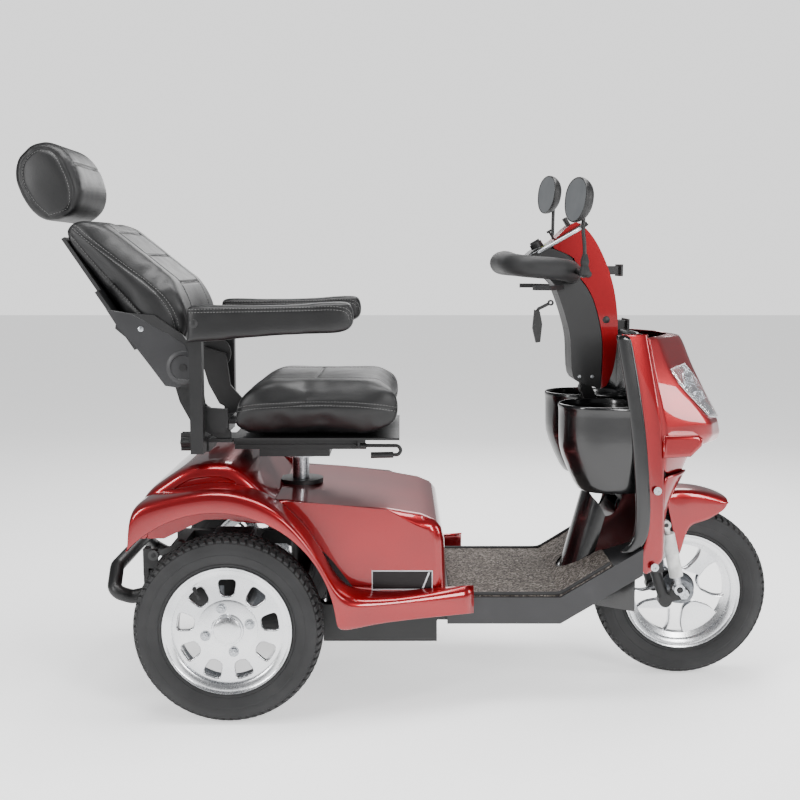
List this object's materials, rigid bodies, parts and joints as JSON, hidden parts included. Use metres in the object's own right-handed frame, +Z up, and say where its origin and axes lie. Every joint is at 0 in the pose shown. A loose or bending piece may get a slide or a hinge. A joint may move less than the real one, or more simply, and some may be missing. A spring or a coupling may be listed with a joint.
{
  "type": "mobility scooter",
  "caption": "Three-wheeled electric mobility scooter with a padded swivel seat, tilting tiller with a loop handlebar, and two storage bins behind the front cowl.",
  "frame": {"origin": "on the ground, under the middle of the overall box", "axes": "+X forward, +Y to the rider's left, +Z up"},
  "size_m": [1.7536, 0.7044, 1.2754],
  "materials": {
    "frame_steel": "satin powder coat",
    "bright_steel": "polished zinc",
    "battery_case": "moulded",
    "controller_case": "cast",
    "drive_casting": "cast",
    "motor_case": "gloss",
    "red_panel": "metallic candy paint on moulded panels",
    "black_trim": "moulded",
    "grey_trim": "fine texture",
    "black_satin": "fine texture",
    "lever_steel": "dipped",
    "floor_rubber": "speckled mat",
    "grip_foam": "soft grip",
    "key_metal": "plated blade and black bow",
    "lamp_lens": "clear",
    "tail_lens": "red lens",
    "rim_alloy": "machined",
    "tyre_rubber": "pneumatic",
    "shock_sleeve": "white sleeve",
    "black_leather": "stitched upholstery"
  },
  "bodies": {
    "chassis": {"main_frame": "frame_steel", "battery_tray": "frame_steel", "battery_packs": "battery_case", "motor_controller": "controller_case", "transaxle": "drive_casting", "drive_motor": "motor_case", "rear_bumper": "frame_steel", "rear_shroud": "red_panel", "rear_fender_left": "red_panel", "rear_fender_right": "red_panel", "tail_panel": "red_panel", "tail_lights": "tail_lens", "floor_pan": "grey_trim", "floor_mat": "floor_rubber", "wheel_well_cover": "grey_trim", "leg_shield": "black_trim", "front_cowl": "red_panel", "headlight": "lamp_lens", "panel_screws": "bright_steel"},
    "freewheel_lever": {"freewheel_lever": "lever_steel"},
    "rear_wheel_left": {"rear_rim_left": "rim_alloy", "rear_tyre_left": "tyre_rubber"},
    "rear_wheel_right": {"rear_rim_right": "rim_alloy", "rear_tyre_right": "tyre_rubber"},
    "fork": {"front_fork": "frame_steel", "front_fender": "black_trim"},
    "front_link": {"front_links": "frame_steel", "front_axle": "bright_steel"},
    "front_wheel": {"front_rim": "rim_alloy", "front_tyre": "tyre_rubber"},
    "shock_bodies": {"shock_bodies": "shock_sleeve"},
    "shock_rods": {"shock_rods": "bright_steel"},
    "tiller": {"tiller_column": "frame_steel", "tiller_rear_cover": "black_satin", "tiller_front_cover": "red_panel", "console_panel": "black_satin", "handlebar": "grip_foam"},
    "throttle": {"throttle_lever": "black_satin"},
    "ignition_key": {"ignition_key": "key_metal"},
    "speed_dial": {"speed_dial": "black_satin"},
    "light_toggle": {"light_toggle": "key_metal"},
    "tilt_lever": {"tilt_lever": "black_satin"},
    "mirror_left": {"mirror_left": "black_satin"},
    "mirror_right": {"mirror_right": "black_satin"},
    "seat_post": {"seat_post": "bright_steel"},
    "seat_base": {"seat_base": "frame_steel"},
    "swivel_lever": {"swivel_lever": "lever_steel"},
    "seat": {"seat_pan": "frame_steel", "seat_cushion": "black_leather"},
    "slide_release_bar": {"slide_release_bar": "lever_steel"},
    "recline_lever": {"recline_lever": "black_satin"},
    "backrest": {"backrest_frame": "frame_steel", "backrest_cushion": "black_leather"},
    "headrest": {"headrest": "black_leather"},
    "armrest_post_left": {"armrest_post_left": "frame_steel"},
    "armrest_post_right": {"armrest_post_right": "frame_steel"},
    "armrest_left": {"armrest_left": "black_leather"},
    "armrest_right": {"armrest_right": "black_leather"},
    "armrest_knob_left": {"armrest_knob_left": "black_satin"},
    "armrest_knob_right": {"armrest_knob_right": "black_satin"}
  },
  "joints": [
    {"name": "steering", "type": "hinge", "parent": "chassis", "child": "fork", "pos_m": [0.4325, 0, 0.7], "axis": [-0.3746, 0, 0.9272], "range_deg": [-30, 30]},
    {"name": "tiller_tilt", "type": "hinge", "parent": "fork", "child": "tiller", "pos_m": [0.4325, 0, 0.7], "axis": [0, -1, 0], "range_deg": [0, 25]},
    {"name": "front_suspension", "type": "hinge", "parent": "fork", "child": "front_link", "pos_m": [0.6205, 0, 0.198], "axis": [0, -1, 0], "range_deg": [0, 18], "stiffness_Nm_per_rad": 60, "springref_deg": -34.38},
    {"name": "shock_pivot", "type": "hinge", "parent": "fork", "child": "shock_bodies", "pos_m": [0.6155, 0, 0.384], "axis": [0, -1, 0], "range_deg": [-4, 1]},
    {"name": "shock_slide", "type": "slide", "parent": "shock_bodies", "child": "shock_rods", "axis": [-0.2235, 0, 0.9747], "range_m": [-0.001, 0.012]},
    {"name": "front_wheel_spin", "type": "hinge", "parent": "front_link", "child": "front_wheel", "pos_m": [0.6695, 0, 0.2075], "axis": [0, 1, 0], "continuous": true},
    {"name": "rear_wheel_left_spin", "type": "hinge", "parent": "chassis", "child": "rear_wheel_left", "pos_m": [-0.3865, 0.307, 0.2075], "axis": [0, 1, 0], "continuous": true},
    {"name": "rear_wheel_right_spin", "type": "hinge", "parent": "chassis", "child": "rear_wheel_right", "pos_m": [-0.3865, -0.307, 0.2075], "axis": [0, 1, 0], "continuous": true},
    {"name": "freewheel_lever_turn", "type": "hinge", "parent": "chassis", "child": "freewheel_lever", "pos_m": [-0.5665, -0.222, 0.3455], "axis": [0, -1, 0], "range_deg": [0, 30]},
    {"name": "seat_height", "type": "slide", "parent": "chassis", "child": "seat_post", "axis": [0, 0, 1], "range_m": [0, 0.05]},
    {"name": "seat_swivel", "type": "hinge", "parent": "seat_post", "child": "seat_base", "pos_m": [-0.2525, 0, 0.56], "axis": [0, 0, 1], "range_deg": [-90, 90]},
    {"name": "swivel_lever_turn", "type": "hinge", "parent": "seat_base", "child": "swivel_lever", "pos_m": [-0.1865, -0.062, 0.581], "axis": [0, 0, 1], "range_deg": [0, 15], "stiffness_Nm_per_rad": 0.5, "springref_deg": -22.92},
    {"name": "seat_slide", "type": "slide", "parent": "seat_base", "child": "seat", "axis": [1, 0, 0], "range_m": [-0.05, 0.05]},
    {"name": "slide_release_turn", "type": "hinge", "parent": "seat", "child": "slide_release_bar", "pos_m": [-0.0965, -0.18, 0.587], "axis": [1, 0, 0], "range_deg": [0, 20], "stiffness_Nm_per_rad": 1, "springref_deg": -28.65},
    {"name": "backrest_recline", "type": "hinge", "parent": "seat", "child": "backrest", "pos_m": [-0.4925, 0, 0.768], "axis": [0, 1, 0], "range_deg": [-12, 75]},
    {"name": "recline_lever_turn", "type": "hinge", "parent": "seat", "child": "recline_lever", "pos_m": [-0.4425, -0.207, 0.669], "axis": [0, -1, 0], "range_deg": [0, 12], "stiffness_Nm_per_rad": 1, "springref_deg": -22.92},
    {"name": "headrest_height", "type": "slide", "parent": "backrest", "child": "headrest", "axis": [-0.515, 0, 0.8572], "range_m": [0, 0.06]},
    {"name": "armrest_left_width", "type": "slide", "parent": "seat", "child": "armrest_post_left", "axis": [0, 1, 0], "range_m": [0, 0.05]},
    {"name": "armrest_left_flip", "type": "hinge", "parent": "armrest_post_left", "child": "armrest_left", "pos_m": [-0.4575, 0.246, 0.868], "axis": [0, -1, 0], "range_deg": [0, 100]},
    {"name": "armrest_left_knob_turn", "type": "hinge", "parent": "seat", "child": "armrest_knob_left", "pos_m": [-0.4875, 0.16, 0.595], "axis": [1, 0, 0], "range_deg": [0, 360]},
    {"name": "armrest_right_width", "type": "slide", "parent": "seat", "child": "armrest_post_right", "axis": [0, -1, 0], "range_m": [0, 0.05]},
    {"name": "armrest_right_flip", "type": "hinge", "parent": "armrest_post_right", "child": "armrest_right", "pos_m": [-0.4575, -0.246, 0.868], "axis": [0, -1, 0], "range_deg": [0, 100]},
    {"name": "armrest_right_knob_turn", "type": "hinge", "parent": "seat", "child": "armrest_knob_right", "pos_m": [-0.4875, -0.16, 0.595], "axis": [1, 0, 0], "range_deg": [0, 360]},
    {"name": "throttle_turn", "type": "hinge", "parent": "tiller", "child": "throttle", "pos_m": [0.3645, 0, 0.942], "axis": [0, 0, 1], "range_deg": [-12, 12], "stiffness_Nm_per_rad": 0.6},
    {"name": "key_turn", "type": "hinge", "parent": "tiller", "child": "ignition_key", "pos_m": [0.38818, 0, 1.08169], "axis": [-0.5126, 0, 0.8586], "range_deg": [0, 90]},
    {"name": "speed_dial_turn", "type": "hinge", "parent": "tiller", "child": "speed_dial", "pos_m": [0.31159, 0, 1.0383], "axis": [-0.5126, 0, 0.8586], "range_deg": [0, 270]},
    {"name": "light_toggle_tilt", "type": "hinge", "parent": "tiller", "child": "light_toggle", "pos_m": [0.35381, 0, 1.04952], "axis": [0, 1, 0], "range_deg": [-12, 12]},
    {"name": "tilt_lever_turn", "type": "hinge", "parent": "tiller", "child": "tilt_lever", "pos_m": [0.3425, -0.032, 0.905], "axis": [0, 1, 0], "range_deg": [0, 15], "stiffness_Nm_per_rad": 0.5, "springref_deg": -22.92},
    {"name": "mirror_left_turn", "type": "hinge", "parent": "tiller", "child": "mirror_left", "pos_m": [0.3865, 0.25, 0.983], "axis": [0, 0, 1], "range_deg": [-30, 30]},
    {"name": "mirror_right_turn", "type": "hinge", "parent": "tiller", "child": "mirror_right", "pos_m": [0.3865, -0.25, 0.983], "axis": [0, 0, 1], "range_deg": [-30, 30]}
  ],
  "couplings": [
    {"joint": "shock_pivot", "follows": "front_suspension", "ratio": -0.1776},
    {"joint": "shock_slide", "follows": "front_suspension", "m_per_rad": 0.0321}
  ]
}
